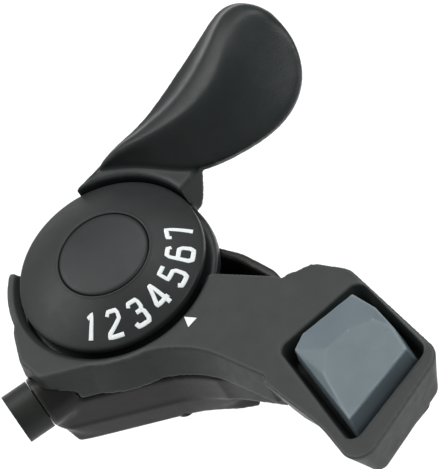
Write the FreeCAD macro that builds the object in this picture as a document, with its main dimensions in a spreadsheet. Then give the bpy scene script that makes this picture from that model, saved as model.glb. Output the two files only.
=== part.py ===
import FreeCAD, Part

import math
import os

import Sketcher

# Indexed thumb shifter for a bicycle handlebar.
#
# Frame: the origin is the centre of the handlebar clamp bore, X runs along the
# handlebar towards the grip, Y points forward and Z points up, square to the dial.
# Every sub-part is drawn about the dial axis, with height 0 at the dial's rim, and
# its Placement then carries it to that axis.

doc = FreeCAD.newDocument("thumb_shifter")
sheet = doc.addObject("Spreadsheet::Sheet", "Dimensions")

DIMENSIONS = {
    # where the dial axis stands from the clamp bore's centre
    "dial_axis_x": -2.0,
    "dial_axis_y": -3.0,
    "dial_rim_z": 29.3,
    # handlebar clamp
    "bar_radius": 11.1,
    "clamp_radius": 13.4,
    "clamp_width": 14.0,
    "clamp_slit": 3.0,
    "lug_thickness": 4.5,
    "lug_reach": 22.0,
    "bolt_reach": 17.6,
    "neck_depth": 16.0,
    "neck_length": 7.6,
    "plate_radius": 14.4,
    "plate_bottom": -14.8,
    "plate_thickness": 1.6,
    # fasteners
    "bolt_shank_radius": 2.5,
    "bolt_head_radius": 4.25,
    "bolt_head_height": 5.0,
    "bolt_socket_radius": 2.3,
    "bolt_length": 16.0,
    "nut_width": 8.0,
    "nut_height": 4.0,
    "screw_radius": 0.9,
    "screw_head_radius": 2.1,
    "screw_head_height": 1.2,
    "screw_pilot_depth": 2.3,
    "screw_grip": 2.2,
    "screw_wall": 0.7,
    # shaft and the parts that turn on it
    "shaft_radius": 3.0,
    "shaft_bottom": -18.0,
    "shaft_top": 0.45,
    "bush_bore": 3.05,
    "bush_radius": 4.2,
    "bush_bottom": -12.8,
    "bush_top": 0.35,
    "thrust_radius": 6.0,
    "thrust_bottom": -13.2,
    "thrust_thickness": 0.35,
    "wheel_radius": 13.6,
    "wheel_root_radius": 13.0,
    "wheel_bottom": -12.8,
    "wheel_thickness": 1.4,
    "gear_step": 19.1,
    "gear_count": 7,
    "gear_middle": -26.0,
    "notch_radius": 1.3,
    "pulley_radius": 10.6,
    "pulley_groove_radius": 8.7,
    "pulley_bottom": -11.4,
    "pulley_thickness": 4.4,
    "groove_height": -9.5,
    "groove_wire_radius": 1.0,
    "groove_flare": 1.3,
    "anchor_radius": 2.1,
    "anchor_depth": 3.0,
    "anchor_inset": 0.6,
    "drive_pin_radius": 1.2,
    "drive_pin_circle": 6.6,
    "washer_radius": 5.2,
    "washer_thickness": 0.5,
    "cap_screw_radius": 4.2,
    "cap_screw_height": 1.4,
    "cap_screw_bore": 1.8,
    "cap_screw_length": 7.0,
    "cap_driver_width": 3.0,
    "cap_driver_floor": 0.5,
    # dial
    "dial_radius": 18.0,
    "dial_underside": -1.6,
    "dial_rim_bevel": 0.5,
    "seam_radius": 8.95,
    "seam_height": 3.9,
    "dial_well_floor": 0.35,
    "dial_well_radius": 6.2,
    "cap_seat": 2.65,
    "cap_gap": 0.2,
    "cap_crown": 0.55,
    "dial_boss_radius": 8.0,
    # thumb lever
    "hub_radius": 17.8,
    "hub_bottom": -7.0,
    "hub_thickness": 2.6,
    "root_inner_radius": 18.5,
    "root_foot_radius": 20.6,
    "root_top_radius": 24.4,
    "root_top": 1.6,
    "root_start": 40.0,
    "root_span": 67.0,
    "dial_room_height": 30.0,
    "paddle_heading": 40.0,
    # casing, and the depths of cuts that run right through it
    "deep_cut": 20.0,
    "guide_cut": 12.0,
    "window_cut": 8.0,
    "parting_height": -9.0,
    "cover_top": -1.0,
    "cover_ring_radius": 22.0,
    "cover_draft": 8.0,
    "recess_radius": 18.5,
    "recess_bevel": 1.3,
    "cover_bore": 19.4,
    "cover_bore_top": -3.2,
    "cutout_start": -18.6,
    "cutout_end": 166.8,
    "cutout_reach": 34.9,
    "lobe_top": -1.0,
    "lobe_depth": 12.7,
    "lobe_rounding": 2.4,
    "lobe_draft": -9.0,
    "lobe_cavity_top": -8.0,
    "arm_cavity_top": -3.0,
    "well_depth": 6.2,
    "well_draft": -6.0,
    "housing_radius": 16.3,
    "housing_bottom": -16.4,
    "housing_wall_top": -7.7,
    "housing_bore": 14.7,
    "belly_depth": 4.3,
    "belly_draft": -20.0,
    "case_gap": 0.1,
    "base_thickness": 1.3,
    # cable outlet
    "outlet_heading": 205.8,
    "outlet_offset": 9.5,
    "outlet_height": -9.5,
    "boss_radius": 5.1,
    "boss_start": 18.2,
    "boss_length": 6.6,
    "barrel_radius": 4.9,
    "barrel_length": 5.2,
    "barrel_shank_radius": 2.9,
    "barrel_shank_length": 6.0,
    "barrel_fit": 0.05,
    "barrel_gap": 0.1,
    "casing_socket_radius": 2.55,
    "casing_socket_depth": 3.6,
    "cable_hole_radius": 0.9,
    # release button, its spring and the holding pawl
    "button_x": 45.6,
    "button_y": -31.4,
    "button_bottom": -4.6,
    "button_height": 6.4,
    "button_crown_draft": -8.0,
    "stem_radius": 2.4,
    "stem_bottom": -8.9,
    "stem_tip_height": 2.2,
    "stem_tip_radius": 0.1,
    "stem_fit": 0.06,
    "clip_radius": 3.5,
    "clip_thickness": 0.4,
    "button_spring_wire": 0.25,
    "button_spring_radius": 3.2,
    "button_spring_pitch": 0.8,
    "button_spring_height": 1.8,
    "pawl_pivot_x": 15.0,
    "pawl_pivot_y": -17.4,
    "pawl_pin_radius": 1.5,
    "pawl_pin_length": 6.0,
    "pawl_fit": 0.05,
    "pawl_hub_radius": 2.8,
    "pawl_bottom": -12.6,
    "pawl_thickness": 1.2,
    "pawl_spring_radius": 2.2,
    "pawl_spring_wire": 0.25,
    "pawl_spring_pitch": 0.9,
    "pawl_spring_height": 1.8,
    "return_spring_radius": 11.0,
    "return_spring_wire": 0.5,
    "return_spring_pitch": 1.1,
    "return_spring_height": 1.3,
}

# Corners of the outlines, seen from above and taken in order round each outline: how far
# across, how far along, and the radius that the corner is rounded to, or 0 for a sharp one.
CORNERS = {
    "cover": [
        ("nose", -19.9, -15.8, 3.0), ("chin", -15.6, -21.2, 3.0), ("brow", 8.5, -21.2, 20.0),
        ("waist", 16.0, -23.4, 20.0), ("armpit", 28.0, -33.0, 0), ("elbow", 38.0, -30.0, 0),
        ("shoulder", 38.0, -12.8, 0), ("arm_root", 33.0, -6.0, 0), ("axis", 0.0, 4.0, 0),
        ("cheek", -22.0, -3.0, 8.0),
    ],
    "lobe": [
        ("heel", 27.9, -33.2, 0), ("side", 38.4, -45.6, 30.0), ("tip", 45.4, -58.0, 4.0),
        ("corner", 62.2, -36.2, 4.0), ("crest", 45.6, -13.0, 5.0), ("bump", 38.4, -9.6, 4.0),
        ("hollow", 33.0, -11.2, 0),
    ],
    "arm_cavity": [
        ("front_left", 8.0, -18.2, 0), ("front", 16.0, -20.2, 0), ("armpit", 26.0, -27.8, 0),
        ("inner", 28.6, -26.0, 0), ("outer", 38.0, -20.2, 0), ("crest", 37.0, -15.0, 0),
        ("back", 26.4, -11.3, 0), ("root", 17.0, -8.4, 0),
    ],
    "lobe_cavity": [
        ("heel", 27.0, -29.0, 0), ("side", 41.0, -40.6, 0), ("tip", 46.0, -44.5, 2.0),
        ("outer", 53.5, -36.5, 2.0), ("corner", 53.6, -33.0, 2.0), ("crest", 43.5, -19.5, 2.0),
        ("root", 31.0, -16.0, 0),
    ],
    "well": [
        ("left", 31.2, -26.8, 2.0), ("back", 47.2, -15.9, 2.5), ("right", 59.6, -34.7, 2.5),
        ("front", 44.4, -51.6, 2.0),
    ],
    "button": [
        ("left", 33.8, -27.8, 1.6), ("back_left", 35.4, -25.2, 1.6), ("back", 46.6, -18.9, 3.0),
        ("back_right", 51.2, -23.9, 3.0), ("right", 57.0, -34.8, 2.5), ("front", 44.6, -47.6, 2.0),
    ],
    "housing": [
        ("nose", -17.6, -21.4, 3.5), ("brow", 8.5, -21.4, 20.0), ("waist", 16.0, -23.6, 20.0),
        ("armpit", 27.3, -32.6, 0), ("inner", 32.4, -10.4, 0), ("shoulder", 28.6, -4.0, 4.0),
        ("ridge", 22.6, 1.4, 12.0), ("root", 15.3, 5.6, 0), ("back", -15.0, 5.6, 0),
        ("cheek", -21.0, -5.4, 4.0), ("jaw", -19.8, -15.0, 4.0),
    ],
    "housing_cavity": [
        ("nose", -15.8, -19.5, 0), ("brow", 8.0, -19.5, 0), ("waist", 16.0, -21.6, 0),
        ("armpit", 26.6, -29.8, 0), ("elbow", 30.5, -28.0, 0), ("inner", 33.5, -15.0, 0),
        ("shoulder", 27.0, -5.6, 0), ("ridge", 21.6, -0.4, 0), ("root", 14.0, 3.6, 0),
        ("back", -13.6, 3.6, 0), ("cheek", -17.2, -6.4, 0), ("jaw", -17.2, -14.2, 0),
    ],
    "lip": [
        ("front", 32.4, -10.4, 0), ("shoulder", 28.6, -4.0, 4.0), ("ridge", 22.6, 1.4, 12.0),
        ("root", 15.3, 5.6, 0), ("root_inner", 14.0, 4.4, 0), ("ridge_inner", 21.6, -0.2, 0),
        ("front_inner", 27.8, -5.6, 0), ("front_end", 31.0, -10.9, 0),
    ],
    "belly": [
        ("nose", -17.0, -21.6, 2.0), ("brow", 9.0, -21.6, 20.0), ("waist", 17.0, -23.6, 8.0),
        ("outer", 21.5, -24.6, 2.0), ("back", 21.5, -12.6, 1.5), ("rear", -17.0, -12.6, 1.5),
    ],
    "belly_cavity": [
        ("nose", -15.2, -19.6, 0), ("brow", 9.0, -19.6, 0), ("outer", 19.6, -21.6, 0),
        ("back", 19.6, -14.4, 0), ("rear", -15.2, -14.4, 0),
    ],
    "pawl": [
        ("heel", 13.2, -18.2, 0), ("nose_back", 11.0, -9.6, 0), ("nose", 12.5, -6.2, 0),
        ("nose_front", 14.2, -8.2, 0), ("arm_root", 17.6, -16.4, 2.0), ("arm", 29.0, -22.4, 8.0),
        ("tail_back", 45.9, -32.3, 0), ("tail", 45.0, -34.4, 0), ("arm_front", 28.4, -25.2, 8.0),
        ("hub_front", 15.6, -20.2, 0),
    ],
    "base": [
        ("heel", 32.6, -32.4, 1.0), ("side", 40.6, -42.2, 3.0), ("tip", 46.2, -46.2, 3.0),
        ("outer", 54.8, -37.2, 2.0), ("corner", 54.9, -32.6, 2.0), ("crest", 44.0, -18.0, 2.0),
        ("root", 32.6, -16.0, 1.0),
    ],
}

# The paddle's oval slices: how far out each one stands along the paddle's heading, how far
# it sits to the side, its height, its two half-widths and the slope of its long axis.
PADDLE_SLICES = [
    (16.5, 9.6, 1.2, 6.2, 1.5, 2.0),
    (21.0, 7.6, 3.9, 6.8, 2.9, 8.0),
    (25.5, 6.1, 5.9, 7.1, 3.8, 14.0),
    (30.5, 5.2, 7.3, 8.4, 4.5, 17.0),
    (36.0, 3.6, 8.6, 10.1, 5.0, 17.0),
    (42.0, 3.2, 10.3, 11.4, 5.0, 15.0),
    (47.0, 4.3, 11.8, 11.0, 4.4, 12.0),
    (51.0, 5.1, 12.6, 7.4, 2.9, 8.0),
    (52.7, 5.4, 12.8, 3.0, 1.0, 4.0),
]

# Where the screws that hold the cover to the housing stand.
CASE_SCREWS = [(-18.8, -8.4), (5.4, -19.0), (29.0, -15.6)]


def fill_sheet():
    """Write every dimension and outline corner into the sheet, each with its alias."""
    values = dict(DIMENSIONS)
    for outline_name, corners in CORNERS.items():
        for corner, across, along, rounding in corners:
            values[f"{outline_name}_{corner}_across"] = across
            values[f"{outline_name}_{corner}_along"] = along
            if rounding:
                values[f"{outline_name}_{corner}_round"] = rounding
    for row, (alias, value) in enumerate(values.items(), start=1):
        sheet.set(f"A{row}", alias.replace("_", " "))
        sheet.set(f"B{row}", str(value))
        sheet.setAlias(f"B{row}", alias)
    doc.recompute()


fill_sheet()


def size(alias):
    return float(sheet.get(alias))


def cell(alias):
    return f"{sheet.Name}.{alias}"


def at_dial_axis(part):
    """Carry a sub-part drawn about the dial axis to its place in the shifter."""
    part.setExpression("Placement.Base.x", cell("dial_axis_x"))
    part.setExpression("Placement.Base.y", cell("dial_axis_y"))
    part.setExpression("Placement.Base.z", cell("dial_rim_z"))


finished = []


def finish(part, label):
    """Name a finished sub-part and stand it on the dial axis."""
    part.Label = label
    at_dial_axis(part)
    finished.append(part)
    return part


# ---- PartDesign helpers ----------------------------------------------------------------


def new_body(name):
    return doc.addObject("PartDesign::Body", name + "_body")


def sketch_on(body, name, height, plane="XY_Plane"):
    """Start a sketch parallel to one of the body's own origin planes, at a given height."""
    sketch = body.newObject("Sketcher::SketchObject", name)
    support = [feature for feature in body.Origin.OriginFeatures if feature.Role == plane][0]
    sketch.AttachmentSupport = [(support, "")]
    sketch.MapMode = "FlatFace"
    sketch.setExpression("AttachmentOffset.Base.z", height)
    return sketch


def add_circle(sketch, radius, across="0", along="0"):
    """Add a circle whose radius and centre come from expressions on the sheet."""
    circle = sketch.addGeometry(Part.Circle(FreeCAD.Vector(0, 0, 0), FreeCAD.Vector(0, 0, 1), 1), False)
    bind(sketch, Sketcher.Constraint("Radius", circle, 1.0), radius)
    place_point(sketch, circle, 3, across, along)
    return circle


def bind(sketch, constraint, expression):
    index = sketch.addConstraint(constraint)
    sketch.setExpression(f"Constraints[{index}]", expression)


def place_point(sketch, geometry, point, across, along):
    """Fix a sketch point from the sketch's origin, by expressions or exactly on an axis."""
    for kind, expression in (("DistanceX", across), ("DistanceY", along)):
        offset = evaluate(expression)
        bind(sketch, Sketcher.Constraint(kind, -1, 1, geometry, point, offset), expression)


def add_polygon(sketch, points):
    """Add a closed outline; each corner is two expressions, and a third where it is rounded."""
    spots = [FreeCAD.Vector(evaluate(point[0]), evaluate(point[1]), 0) for point in points]
    count = len(spots)
    lines = [
        sketch.addGeometry(Part.LineSegment(spots[index], spots[(index + 1) % count]), False)
        for index in range(count)
    ]
    for index, line in enumerate(lines):
        sketch.addConstraint(Sketcher.Constraint("Coincident", line, 2, lines[(index + 1) % count], 1))
    for line, point in zip(lines, points):
        place_point(sketch, line, 1, point[0], point[1])
    for line, point in zip(lines, points):
        if len(point) == 3:
            round_corner(sketch, line, point[2])


def round_corner(sketch, line, rounding):
    """Put an arc at a line's start and keep its corner as the point that places it."""
    arc = sketch.GeometryCount
    sketch.fillet(line, 1, evaluate(rounding), True, True)
    bind(sketch, Sketcher.Constraint("Radius", arc, evaluate(rounding)), rounding)


def evaluate(expression):
    """The number that an expression on the sheet gives now."""
    result = sheet.evalExpression(expression.replace(sheet.Name + ".", ""))
    return float(getattr(result, "Value", result))


def outline(name):
    """The corners of one of the outlines above, as expressions on the sheet."""
    points = []
    for corner, _, _, rounding in CORNERS[name]:
        point = [cell(f"{name}_{corner}_across"), cell(f"{name}_{corner}_along")]
        if rounding:
            point.append(cell(f"{name}_{corner}_round"))
        points.append(point)
    return points


def pad(body, sketch, length, draft=None, downward=False):
    feature = body.newObject("PartDesign::Pad", sketch.Name + "_pad")
    feature.Profile = sketch
    feature.Reversed = downward
    feature.setExpression("Length", length)
    if draft is not None:
        feature.setExpression("TaperAngle", draft)
    doc.recompute()
    return feature


def pocket(body, sketch, depth, upward=False, draft=None):
    """Cut a sketch out of the body and make sure that the cut takes material away."""
    before = body.Shape.Volume
    feature = body.newObject("PartDesign::Pocket", sketch.Name + "_pocket")
    feature.Profile = sketch
    feature.Reversed = upward
    feature.setExpression("Length", depth)
    if draft is not None:
        feature.setExpression("TaperAngle", draft)
    doc.recompute()
    if body.Shape.Volume > before - 1e-3:
        raise RuntimeError(f"{feature.Name} cuts nothing")
    return feature


def revolve(body, sketch, axis="V_Axis"):
    feature = body.newObject("PartDesign::Revolution", sketch.Name + "_turned")
    feature.Profile = sketch
    feature.ReferenceAxis = (sketch, [axis])
    feature.Angle = 360
    doc.recompute()
    return feature


def round_edges(body, radius, wanted, kind="Fillet"):
    """Round or bevel the edges of the body's tip that pass a test."""
    base = body.Tip
    names = [f"Edge{number}" for number, edge in enumerate(base.Shape.Edges, start=1) if wanted(edge)]
    feature = body.newObject(f"PartDesign::{kind}", f"{body.Name}_{kind.lower()}")
    feature.Base = (base, names)
    feature.setExpression("Radius" if kind == "Fillet" else "Size", radius)
    doc.recompute()
    if "Invalid" in feature.State or feature.Shape.isNull() or not feature.Shape.isValid():
        raise RuntimeError(f"{feature.Name} failed on {names}")
    return feature


def is_recess_mouth(edge):
    """True for the round edge where the dial's recess opens on the cover's top."""
    return (
        lies_at(edge, size("cover_top"))
        and isinstance(edge.Curve, Part.Circle)
        and abs(edge.Curve.Radius - size("recess_radius")) < 1e-3
    )


def lies_at(edge, height):
    box = edge.BoundBox
    return box.ZLength < 1e-4 and abs(box.ZMin - height) < 1e-3


# ---- Part primitive helpers ------------------------------------------------------------


def cylinder(name, radius, height, bottom="0", across="0", along="0"):
    """An upright cylinder whose sizes and place come from expressions on the sheet."""
    solid = doc.addObject("Part::Cylinder", name)
    solid.setExpression("Radius", radius)
    solid.setExpression("Height", height)
    solid.setExpression("Placement.Base.x", across)
    solid.setExpression("Placement.Base.y", along)
    solid.setExpression("Placement.Base.z", bottom)
    return solid


def fuse(name, parts):
    joined = doc.addObject("Part::MultiFuse", name)
    joined.Shapes = parts
    joined.Refine = True
    return joined


def cut(name, base, tool):
    result = doc.addObject("Part::Cut", name)
    result.Base = base
    result.Tool = tool
    return result


def ring(name, outer, inner, height, bottom, across="0", along="0"):
    """A plain washer or tube."""
    outside = cylinder(name + "_outside", outer, height, bottom, across, along)
    inside = cylinder(name + "_inside", inner, height, bottom, across, along)
    return cut(name, outside, inside)


def coil(name, radius, wire, pitch, height, bottom, across="0", along="0"):
    """A round-wire spring that stands upright: a circle swept along a helix."""
    helix = doc.addObject("Part::Helix", name + "_helix")
    helix.setExpression("Radius", radius)
    helix.setExpression("Pitch", pitch)
    helix.setExpression("Height", height)
    section = doc.addObject("Part::Circle", name + "_wire")
    section.setExpression("Radius", wire)
    section.setExpression("Placement.Base.x", radius)
    section.Placement.Rotation = FreeCAD.Rotation(FreeCAD.Vector(1, 0, 0), 90)
    doc.recompute()
    sweep = doc.addObject("Part::Sweep", name + "_coil")
    sweep.Sections = [section]
    sweep.Spine = (helix, [f"Edge{number}" for number in range(1, len(helix.Shape.Edges) + 1)])
    sweep.Solid = True
    sweep.Frenet = True
    holder = doc.addObject("Part::Compound", name)
    holder.Links = [sweep]
    for axis, place in (("x", across), ("y", along), ("z", bottom)):
        sweep.setExpression(f"Placement.Base.{axis}", place)
    doc.recompute()
    return holder


# ---- Handlebar clamp bracket -----------------------------------------------------------
# A cast bracket: a flat plate that carries the shaft, a neck under it and a split ring
# round the bar, with two lugs that the clamp bolt draws together.

BAR_X = f"-{cell('dial_axis_x')}"
BAR_Y = f"-{cell('dial_axis_y')}"
BAR_Z = f"-{cell('dial_rim_z')}"
LUG_SLOPE = FreeCAD.Rotation(
    FreeCAD.Vector(0, 1, -1), FreeCAD.Vector(0, 1, 1), FreeCAD.Vector(1, 0, 0), "XYZ"
)
BOLT_SLOPE = FreeCAD.Rotation(
    FreeCAD.Vector(1, 0, 0), FreeCAD.Vector(0, 1, -1), FreeCAD.Vector(0, 1, 1), "ZXY"
)


def bar_cylinder(name, radius, length):
    """A cylinder round the handlebar's axis, centred on the clamp."""
    solid = doc.addObject("Part::Cylinder", name)
    solid.setExpression("Radius", radius)
    solid.setExpression("Height", length)
    solid.Placement.Rotation = FreeCAD.Rotation(FreeCAD.Vector(0, 1, 0), 90)
    solid.setExpression("Placement.Base.x", f"{BAR_X} - ({length}) / 2")
    solid.setExpression("Placement.Base.y", BAR_Y)
    solid.setExpression("Placement.Base.z", BAR_Z)
    return solid


def lug_box(name, reach, thickness, width):
    """A bar from the clamp's centre out along the sloping lugs."""
    solid = doc.addObject("Part::Box", name)
    solid.setExpression("Length", reach)
    solid.setExpression("Width", thickness)
    solid.setExpression("Height", width)
    solid.Placement.Rotation = LUG_SLOPE
    solid.setExpression("Placement.Base.x", f"{BAR_X} - ({width}) / 2")
    solid.setExpression("Placement.Base.y", f"{BAR_Y} - ({thickness}) / 2 * cos(45)")
    solid.setExpression("Placement.Base.z", f"{BAR_Z} - ({thickness}) / 2 * cos(45)")
    return solid


def on_bolt_axis(solid, distance):
    """Stand a solid on the clamp bolt's axis, a distance from the middle of the slit."""
    solid.Placement.Rotation = BOLT_SLOPE
    reach = cell("bolt_reach")
    solid.setExpression("Placement.Base.x", BAR_X)
    solid.setExpression("Placement.Base.y", f"{BAR_Y} + ({reach} + {distance}) * cos(45)")
    solid.setExpression("Placement.Base.z", f"{BAR_Z} - ({reach} - ({distance})) * cos(45)")
    return solid


def bolt_cylinder(name, radius, length, distance):
    solid = doc.addObject("Part::Cylinder", name)
    solid.setExpression("Radius", radius)
    solid.setExpression("Height", length)
    return on_bolt_axis(solid, distance)


def hexagon(name, across_flats, height):
    prism = doc.addObject("Part::Prism", name)
    prism.Polygon = 6
    prism.setExpression("Circumradius", f"({across_flats}) / 2 / cos(30)")
    prism.setExpression("Height", height)
    return prism


LUG_FACE = f"({cell('clamp_slit')} / 2 + {cell('lug_thickness')})"


def clamp_bracket():
    strut = doc.addObject("Part::Box", "plate_strut")
    strut.setExpression("Length", f"sqrt({cell('pawl_pivot_x')}^2 + {cell('pawl_pivot_y')}^2)")
    strut.setExpression("Width", f"2 * {cell('pawl_hub_radius')}")
    strut.setExpression("Height", cell("plate_thickness"))
    heading = math.degrees(math.atan2(size("pawl_pivot_y"), size("pawl_pivot_x")))
    strut.Placement.Rotation = FreeCAD.Rotation(FreeCAD.Vector(0, 0, 1), heading)
    strut.setExpression("Placement.Base.x", f"{cell('pawl_hub_radius')} * sin({heading})")
    strut.setExpression("Placement.Base.y", f"-{cell('pawl_hub_radius')} * cos({heading})")
    strut.setExpression("Placement.Base.z", cell("plate_bottom"))
    plate = cylinder("plate_disc", cell("plate_radius"), cell("plate_thickness"), cell("plate_bottom"))
    ear = cylinder("pawl_ear", cell("pawl_hub_radius"), cell("plate_thickness"), cell("plate_bottom"),
                   cell("pawl_pivot_x"), cell("pawl_pivot_y"))
    neck = doc.addObject("Part::Box", "neck")
    neck.setExpression("Length", cell("clamp_width"))
    neck.setExpression("Width", cell("neck_depth"))
    neck.setExpression("Height", cell("neck_length"))
    neck.setExpression("Placement.Base.x", f"{BAR_X} - {cell('clamp_width')} / 2")
    neck.setExpression("Placement.Base.y", f"{BAR_Y} - {cell('neck_depth')} / 2")
    neck.setExpression("Placement.Base.z", f"{cell('plate_bottom')} - {cell('neck_length')}")
    band = bar_cylinder("band", cell("clamp_radius"), cell("clamp_width"))
    lugs = lug_box("lugs", cell("lug_reach"), f"2 * {LUG_FACE}", cell("clamp_width"))
    solid = fuse("bracket_solid", [plate, ear, strut, neck, band, lugs])
    holes = fuse("bracket_holes", [
        lug_box("slit", f"{cell('lug_reach')} + 1", cell("clamp_slit"), f"{cell('clamp_width')} + 2"),
        bar_cylinder("bar_bore", cell("bar_radius"), f"{cell('clamp_width')} + 2"),
        cylinder("shaft_hole", cell("shaft_radius"), f"-{cell('shaft_bottom')}", cell("shaft_bottom")),
        cylinder("pawl_pin_hole", cell("pawl_pin_radius"), "4", f"{cell('plate_bottom')} - 1",
                 cell("pawl_pivot_x"), cell("pawl_pivot_y")),
        bolt_cylinder("bolt_hole", f"{cell('bolt_shank_radius')} + 0.2", f"2 * {LUG_FACE} + 2",
                      f"-({LUG_FACE} + 1)"),
    ])
    finish(cut("bracket_cast", solid, holes), "clamp_bracket")


def clamp_fasteners():
    """Socket-head bolt and hexagon nut through the clamp's lugs."""
    head = bolt_cylinder("bolt_head", cell("bolt_head_radius"), cell("bolt_head_height"), LUG_FACE)
    shank = bolt_cylinder("bolt_shank", cell("bolt_shank_radius"), cell("bolt_length"),
                          f"({LUG_FACE} - {cell('bolt_length')})")
    socket = hexagon("bolt_socket", f"2 * {cell('bolt_socket_radius')}", "3")
    on_bolt_axis(socket, f"({LUG_FACE} + {cell('bolt_head_height')} - 2.5)")
    finish(cut("bolt_turned", fuse("bolt_solid", [head, shank]), socket), "clamp_bolt")
    blank = hexagon("nut_blank", cell("nut_width"), cell("nut_height"))
    on_bolt_axis(blank, f"(-{LUG_FACE} - {cell('nut_height')})")
    thread = bolt_cylinder("nut_thread", cell("bolt_shank_radius"), f"{cell('nut_height')} + 2",
                           f"(-{LUG_FACE} - {cell('nut_height')} - 1)")
    finish(cut("nut_tapped", blank, thread), "clamp_nut")


# ---- Shaft, bush and washers -----------------------------------------------------------


def shaft_parts():
    """Fixed steel shaft, its screw and washers, and the bronze bush that turns on it."""
    bar = cylinder("shaft_bar", cell("shaft_radius"), f"{cell('shaft_top')} - {cell('shaft_bottom')}",
                   cell("shaft_bottom"))
    thread = cylinder("shaft_thread", cell("cap_screw_bore"), f"{cell('cap_screw_length')} + 1",
                      f"{cell('shaft_top')} - {cell('cap_screw_length')}")
    finish(cut("shaft_turned", bar, thread), "main_shaft")
    finish(ring("bush", cell("bush_radius"), cell("bush_bore"), f"{cell('bush_top')} - {cell('bush_bottom')}",
                cell("bush_bottom")), "shaft_bush")
    finish(ring("thrust", cell("thrust_radius"), cell("shaft_radius"), cell("thrust_thickness"),
                cell("thrust_bottom")), "thrust_washer")
    finish(ring("washer", cell("washer_radius"), cell("cap_screw_bore"), cell("washer_thickness"),
                cell("shaft_top")), "dial_washer")
    head = cylinder("cap_screw_head", cell("cap_screw_radius"), cell("cap_screw_height"),
                    f"{cell('shaft_top')} + {cell('washer_thickness')}")
    stem = cylinder("cap_screw_stem", cell("cap_screw_bore"), cell("cap_screw_length"),
                    f"{cell('shaft_top')} - {cell('cap_screw_length')} + {cell('washer_thickness')} + 0.2")
    driver = hexagon("cap_screw_socket", cell("cap_driver_width"), "2")
    floor = f"{cell('shaft_top')} + {cell('washer_thickness')} + {cell('cap_driver_floor')}"
    driver.setExpression("Placement.Base.z", floor)
    finish(cut("cap_screw_turned", fuse("cap_screw_solid", [head, stem]), driver), "shaft_screw")


# ---- Dial and its cap ------------------------------------------------------------------


def turned(name, profile):
    """A PartDesign body turned about the dial axis from (radius, height) expressions."""
    body = new_body(name)
    sketch = sketch_on(body, name + "_profile", "0", "XZ_Plane")
    add_polygon(sketch, profile)
    revolve(body, sketch)
    return body


def dial_parts():
    """Round number dial, dished in the middle for the screw, and its snap-in cap."""
    rim = cell("dial_radius")
    seam = cell("seam_radius")
    finish(turned("dial", [
        (cell("bush_radius"), f"{cell('hub_bottom')} + {cell('hub_thickness')}"),
        (cell("dial_boss_radius"), f"{cell('hub_bottom')} + {cell('hub_thickness')}"),
        (cell("dial_boss_radius"), cell("dial_underside")),
        (f"{rim} - {cell('dial_rim_bevel')}", cell("dial_underside")),
        (rim, f"{cell('dial_underside')} + {cell('dial_rim_bevel')}"),
        (rim, "-0.2"),
        (f"{rim} - {cell('dial_rim_bevel')}", "0.35"),
        (seam, cell("seam_height")),
        (seam, cell("cap_seat")),
        (cell("dial_well_radius"), cell("cap_seat")),
        (cell("dial_well_radius"), cell("dial_well_floor")),
        (cell("bush_radius"), cell("dial_well_floor")),
    ]), "number_dial")
    edge = f"{seam} - {cell('cap_gap')}"
    finish(turned("cap", [
        ("0", cell("cap_seat")),
        (edge, cell("cap_seat")),
        (edge, f"{cell('seam_height')} - 0.3"),
        (f"{edge} - 0.4", f"{cell('seam_height')} + 0.05"),
        (f"{edge} * 0.55", f"{cell('seam_height')} + {cell('cap_crown')} * 0.75"),
        ("0", f"{cell('seam_height')} + {cell('cap_crown')}"),
    ]), "dial_cap")


# ---- Thumb lever -----------------------------------------------------------------------
# One moulding: a hub plate under the dial, a curved root that climbs past the dial's far
# edge, and a broad paddle that leans towards the rider's thumb.


def paddle_slice(number, reach, side, height, half_width, half_depth, slope):
    """One oval slice of the paddle, square to the paddle's heading."""
    heading = math.radians(size("paddle_heading"))
    along = FreeCAD.Vector(math.cos(heading), math.sin(heading), 0)
    across = FreeCAD.Vector(-math.sin(heading), math.cos(heading), 0)
    up = FreeCAD.Vector(0, 0, 1)
    tilt = math.radians(slope)
    oval = doc.addObject("Part::Ellipse", f"paddle_slice_{number}")
    oval.MajorRadius = half_width
    oval.MinorRadius = half_depth
    long_axis = across * math.cos(tilt) + up * math.sin(tilt)
    oval.Placement = FreeCAD.Placement(
        along * reach + across * side + up * height,
        FreeCAD.Rotation(long_axis, along.cross(long_axis), along, "XZY"),
    )
    return oval


def sector(name, foot_radius, top_radius, height, bottom):
    """A wedge of a cone about the dial axis, from the lever root's start to its end."""
    wedge = doc.addObject("Part::Cone", name)
    wedge.setExpression("Radius1", foot_radius)
    wedge.setExpression("Radius2", top_radius)
    wedge.setExpression("Height", height)
    wedge.setExpression("Angle", cell("root_span"))
    wedge.Placement.Rotation = FreeCAD.Rotation(FreeCAD.Vector(0, 0, 1), size("root_start"))
    wedge.setExpression("Placement.Base.z", bottom)
    return wedge


def thumb_lever():
    paddle = doc.addObject("Part::Loft", "paddle")
    paddle.Sections = [paddle_slice(number, *values) for number, values in enumerate(PADDLE_SLICES)]
    paddle.Solid = True
    paddle.Ruled = False
    hub = cylinder("lever_hub", cell("hub_radius"), cell("hub_thickness"), cell("hub_bottom"))
    root = sector("lever_root", cell("root_foot_radius"), cell("root_top_radius"),
                  f"{cell('root_top')} - {cell('hub_bottom')}", cell("hub_bottom"))
    solid = fuse("lever_solid", [paddle, hub, root])
    dial_room = cylinder("dial_room", cell("root_inner_radius"), cell("dial_room_height"),
                         f"{cell('hub_bottom')} + {cell('hub_thickness')}")
    bore = cylinder("lever_bore", cell("bush_radius"), "6", f"{cell('hub_bottom')} - 1")
    holes = fuse("lever_holes", [dial_room, bore] + drive_pin_holes("lever"))
    finish(cut("lever_moulding", solid, holes), "thumb_lever")


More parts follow.
